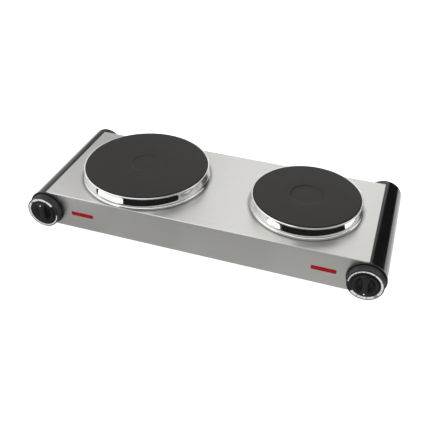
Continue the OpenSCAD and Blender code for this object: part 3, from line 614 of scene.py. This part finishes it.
def dial_marks(side):
    """Dark printed ticks across the dial ring, in degrees clockwise from the middle of its gap.

    They are close together at first, then wide apart, with one dense block.
    """
    close, wide, block = range(32, 103, 14), range(136, 347, 35), range(235, 248, 3)
    ticks = (*close, *wide, *block)
    dial_low, dial_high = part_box(f"{side}_dial_ring")
    dial_r = (dial_high.x - dial_low.x) / 2
    place = knob_place(side)
    front = place.translation.y - dial_low.y
    half = 0.34 * MM
    lift = 0.03 * MM
    verts, faces = [], []
    for tick in ticks:
        a = math.radians(DIAL_GAP_AT - tick)
        share = ((-tick - DIAL_GAP / 2) % 360) / (360 - DIAL_GAP)
        width = DIAL_WIDE + (DIAL_NARROW - DIAL_WIDE) * share
        span = (dial_r - width, dial_r - 0.1 * MM)
        start = len(verts)
        for z in (front - 0.05 * MM, front + lift):
            for rr, side_step in ((span[0], -half), (span[1], -half), (span[1], half), (span[0], half)):
                x = rr * math.cos(a) - side_step * math.sin(a)
                y = rr * math.sin(a) + side_step * math.cos(a)
                verts.append(place @ Vector((x, y, z)))
        faces += [(start, start + 3, start + 2, start + 1), (start + 4, start + 5, start + 6, start + 7)]
        faces += [(start + i, start + (i + 1) % 4, start + 4 + (i + 1) % 4, start + 4 + i) for i in range(4)]
    make_piece(f"{side}_dial_marks", verts, faces, f"{side}_control", DIAL_INK)


# ---- lamp lenses -----------------------------------------------------------

def rounded_outline(width, height, radius, steps=8):
    """Points round a rectangle with round corners, about its middle."""
    corners = ((1, 1, 0), (-1, 1, 90), (-1, -1, 180), (1, -1, 270))
    points = []
    for sx, sz, start in corners:
        middle = (sx * (width / 2 - radius), sz * (height / 2 - radius))
        points += arc(middle, radius, start, start + 90, steps)
    return points


def lamp_lens(side):
    """A red bar with a soft crown: a lip in front of the panel, and a flange and box behind it."""
    low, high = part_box(f"{side}_lamp_lens")
    centre = (low + high) / 2
    width = high.x - low.x - 4.5 * MM
    height = high.z - low.z - 4.1 * MM
    back = high.y
    front = low.y
    sheet = front + 0.6 * MM + 0.8 * MM
    lip_w, lip_h, lip_y = width + 1.0 * MM, height + 1.5 * MM, front + 0.57 * MM
    flange_w, flange_h, flange_y = width + 4 * MM, height + 4 * MM, sheet + 1.5 * MM
    box_w, box_h = width - 4 * MM, height + 3.9 * MM
    bore_w, bore_h = width - 7 * MM, height + 0.9 * MM
    layers = [
        (lip_w - 1.3 * MM, lip_h - 1.3 * MM, front),
        (lip_w - 0.7 * MM, lip_h - 0.7 * MM, front + 0.08 * MM),
        (lip_w - 0.2 * MM, lip_h - 0.2 * MM, front + 0.3 * MM),
        (lip_w, lip_h, lip_y),
        (width, height, lip_y),
        (width, height, sheet),
        (flange_w, flange_h, sheet),
        (flange_w, flange_h, flange_y),
        (box_w, box_h, flange_y),
        (box_w, box_h, back),
        (bore_w, bore_h, back),
        (bore_w, bore_h, sheet + 1.6 * MM),
    ]
    verts, faces = [], []
    for w, h, y in layers:
        ring = rounded_outline(w, h, min(1.7 * MM, h * 0.45))
        verts += [(centre.x + x, y, centre.z + z) for x, z in ring]
    count = len(verts) // len(layers)
    for i in range(len(layers) - 1):
        for j in range(count):
            k = (j + 1) % count
            faces.append((i * count + j, i * count + k, (i + 1) * count + k, (i + 1) * count + j))
    faces.append(tuple(range(count)))
    faces.append(tuple(range(len(verts) - 1, len(verts) - count - 1, -1)))
    piece = make_piece(f"{side}_red_lens", verts, faces, BASE, MATERIALS["lens_red"], 50)
    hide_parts(f"{side}_lamp_lens")


# ---- stage, lights and camera ----------------------------------------------

def flat_material(name, colour, strength=0.0):
    material = bpy.data.materials.new(name)
    material.use_nodes = True
    surface = material.node_tree.nodes["Principled BSDF"]
    surface.inputs["Base Color"].default_value = (*colour, 1)
    surface.inputs["Roughness"].default_value = 0.9
    surface.inputs["Specular IOR Level"].default_value = 0.1
    surface.inputs["Emission Color"].default_value = (*colour, 1)
    surface.inputs["Emission Strength"].default_value = strength
    return material


def stage_mesh(name, verts, faces, material):
    mesh = bpy.data.meshes.new(name)
    mesh.from_pydata(verts, [], faces)
    mesh.materials.append(material)
    thing = bpy.data.objects.new(name, mesh)
    SCENE.collection.objects.link(thing)
    return thing


def floor():
    half = 12.0
    corners = [(-half, -half, 0), (half, -half, 0), (half, half, 0), (-half, half, 0)]
    return stage_mesh("floor", corners, [(0, 1, 2, 3)], flat_material("floor", (0.82, 0.82, 0.82), 0.85))


def card(name, verts, faces, level):
    """A studio card that shows only in reflections."""
    thing = stage_mesh(name, verts, faces, flat_material(name, (0, 0, 0)))
    surface = thing.data.materials[0].node_tree.nodes["Principled BSDF"]
    surface.inputs["Specular IOR Level"].default_value = 0.0
    surface.inputs["Emission Color"].default_value = (1, 1, 1, 1)
    surface.inputs["Emission Strength"].default_value = level
    thing.data.materials[0].cycles.emission_sampling = "NONE"
    thing.visible_camera = False
    thing.visible_diffuse = False
    thing.visible_shadow = False
    thing.visible_transmission = False
    thing.visible_volume_scatter = False
    return thing


def bearing(azimuth, elevation, distance):
    """A point seen from the origin, azimuth 0 towards -Y and 90 towards +X."""
    a, e = math.radians(azimuth), math.radians(elevation)
    x = distance * math.sin(a) * math.cos(e)
    y = -distance * math.cos(a) * math.cos(e)
    return x, y, distance * math.sin(e)


def dome_card(name, azimuths, elevations, level, distance=1.9, steps=16):
    """Part of a dome round the object."""
    verts, faces = [], []
    for j in range(steps + 1):
        elevation = elevations[0] + (elevations[1] - elevations[0]) * j / steps
        for i in range(steps + 1):
            azimuth = azimuths[0] + (azimuths[1] - azimuths[0]) * i / steps
            verts.append(bearing(azimuth, elevation, distance))
    for j in range(steps):
        for i in range(steps):
            k = j * (steps + 1) + i
            faces.append((k, k + 1, k + steps + 2, k + steps + 1))
    return card(name, verts, faces, level)


def wall_card(name, start, end, height, level):
    """An upright card on the floor."""
    verts = [(*start, 0.0), (*end, 0.0), (*end, height), (*start, height)]
    return card(name, verts, [(0, 1, 2, 3)], level)


def floor_card(name, outline, level):
    """A flat card of any outline, just over the floor."""
    verts = [(x, y, FLOOR_CARD_LIFT) for x, y in outline]
    return card(name, verts, [tuple(range(len(outline)))], level)


def level_card(name, xs, ys, height, level):
    """A flat rectangle at a height."""
    (x0, x1), (y0, y1) = xs, ys
    verts = [(x0, y0, height), (x1, y0, height), (x1, y1, height), (x0, y1, height)]
    return card(name, verts, [(0, 1, 2, 3)], level)


def studio():
    """Cards that only show in reflections: the front is dark, with a grey apron by the housing."""
    dark, apron = 0.012, 0.47
    apron_step = 0.045
    near = -0.27
    left_edge = (-0.285, -0.454)
    right_edge = [(0.62, -0.02), (0.42, -0.06), (0.42, near)]
    dome_card("front_flag", (-34, 100), (0, 12), dark)
    fan = [bearing(a, 0, 1.9)[:2] for a in range(-21, 101, 4)]
    floor_card("front_floor_flag", [(-0.225, near), left_edge, *fan, *right_edge], dark)
    for i, xs in enumerate(((-0.45, -0.16), (-0.16, -0.04), (-0.04, 0.1), (0.1, 0.42))):
        level_card(f"apron_card_{i}", xs, (near, -0.097), APRON_LIFT, apron - apron_step * (3 - i))
    level_card("rear_apron_card", (-0.24, 0.24), (0.103, 0.30), APRON_LIFT, apron)
    wall_card("left_card", left_edge, (-1.319, 0.293), 0.9, 1.15)
    dome_card("rail_flag", (131, 160), (-1, 50), dark, 1.7)
    dome_card("back_left_card", (-157, -134), (4, 70), 0.48, 1.8)
    dome_card("back_middle_card", (-182, -157), (4, 70), 1.03, 1.8)
    dome_card("back_right_card", (160.5, 178), (4, 70), 1.12, 1.8)
    level_card("ceiling_flag", (0.03, 1.3), (-0.7, 0.35), 1.2, dark)
    level_card("ceiling_card", (-0.9, 0.0), (-0.4, 0.5), 0.95, 1.6)


def softbox(name, where, target, size, power):
    """A rectangular lamp turned to a target."""
    data = bpy.data.lights.new(name, "AREA")
    data.shape = "RECTANGLE"
    data.size, data.size_y = size
    data.energy = power
    lamp = bpy.data.objects.new(name, data)
    lamp.location = where
    lamp.rotation_euler = (Vector(target) - Vector(where)).to_track_quat("-Z", "Y").to_euler()
    SCENE.collection.objects.link(lamp)
    return lamp


def lights():
    """A white sky and two soft lamps that reflections don't show."""
    world = bpy.data.worlds.new("studio")
    SCENE.world = world
    world.use_nodes = True
    sky = world.node_tree.nodes["Background"]
    sky.inputs["Color"].default_value = (1, 1, 1, 1)
    sky.inputs["Strength"].default_value = 0.92
    for lamp in (softbox("overhead", (-0.5, 0.3, 1.6), (0, 0, 0), (1.6, 1.2), 9),
                 softbox("left_fill", (-1.6, -0.6, 0.9), (0, 0, 0), (1.0, 1.0), 6)):
        lamp.visible_glossy = False


def camera():
    """The viewpoint, from its place, heading, tilt, roll and focal length."""
    yaw, pitch, roll = math.radians(17.68), math.radians(36.48), math.radians(1.28)
    data = bpy.data.cameras.new("camera")
    data.lens = 52.69
    data.sensor_width = 36.0
    data.clip_start, data.clip_end = 0.05, 50
    thing = bpy.data.objects.new("camera", data)
    forward = Vector((-math.sin(yaw) * math.cos(pitch), math.cos(yaw) * math.cos(pitch), -math.sin(pitch)))
    level = Vector((math.cos(yaw), math.sin(yaw), 0))
    upright = level.cross(forward)
    right = math.cos(roll) * level + math.sin(roll) * upright
    up = -math.sin(roll) * level + math.cos(roll) * upright
    columns = Matrix((right, up, -forward)).transposed().to_4x4()
    eye = (0.230687, -0.737108, 0.588361)
    thing.matrix_world = Matrix.Translation(eye) @ columns
    SCENE.collection.objects.link(thing)
    SCENE.camera = thing


# ---- everything ------------------------------------------------------------

dress_cad_nodes()
for plate_size in SIZES:
    hot_plate(plate_size)
    spill_ring(plate_size)
for knob_side in SIDES:
    knob(knob_side)
    dial_marks(knob_side)
    lamp_lens(knob_side)
    soften(f"{knob_side}_dial_ring", 0.1 * MM, 2)
    soften(f"{knob_side}_bezel", 0.25 * MM, 3)
floor()
studio()
lights()
camera()
SCENE.view_settings.view_transform = "Standard"
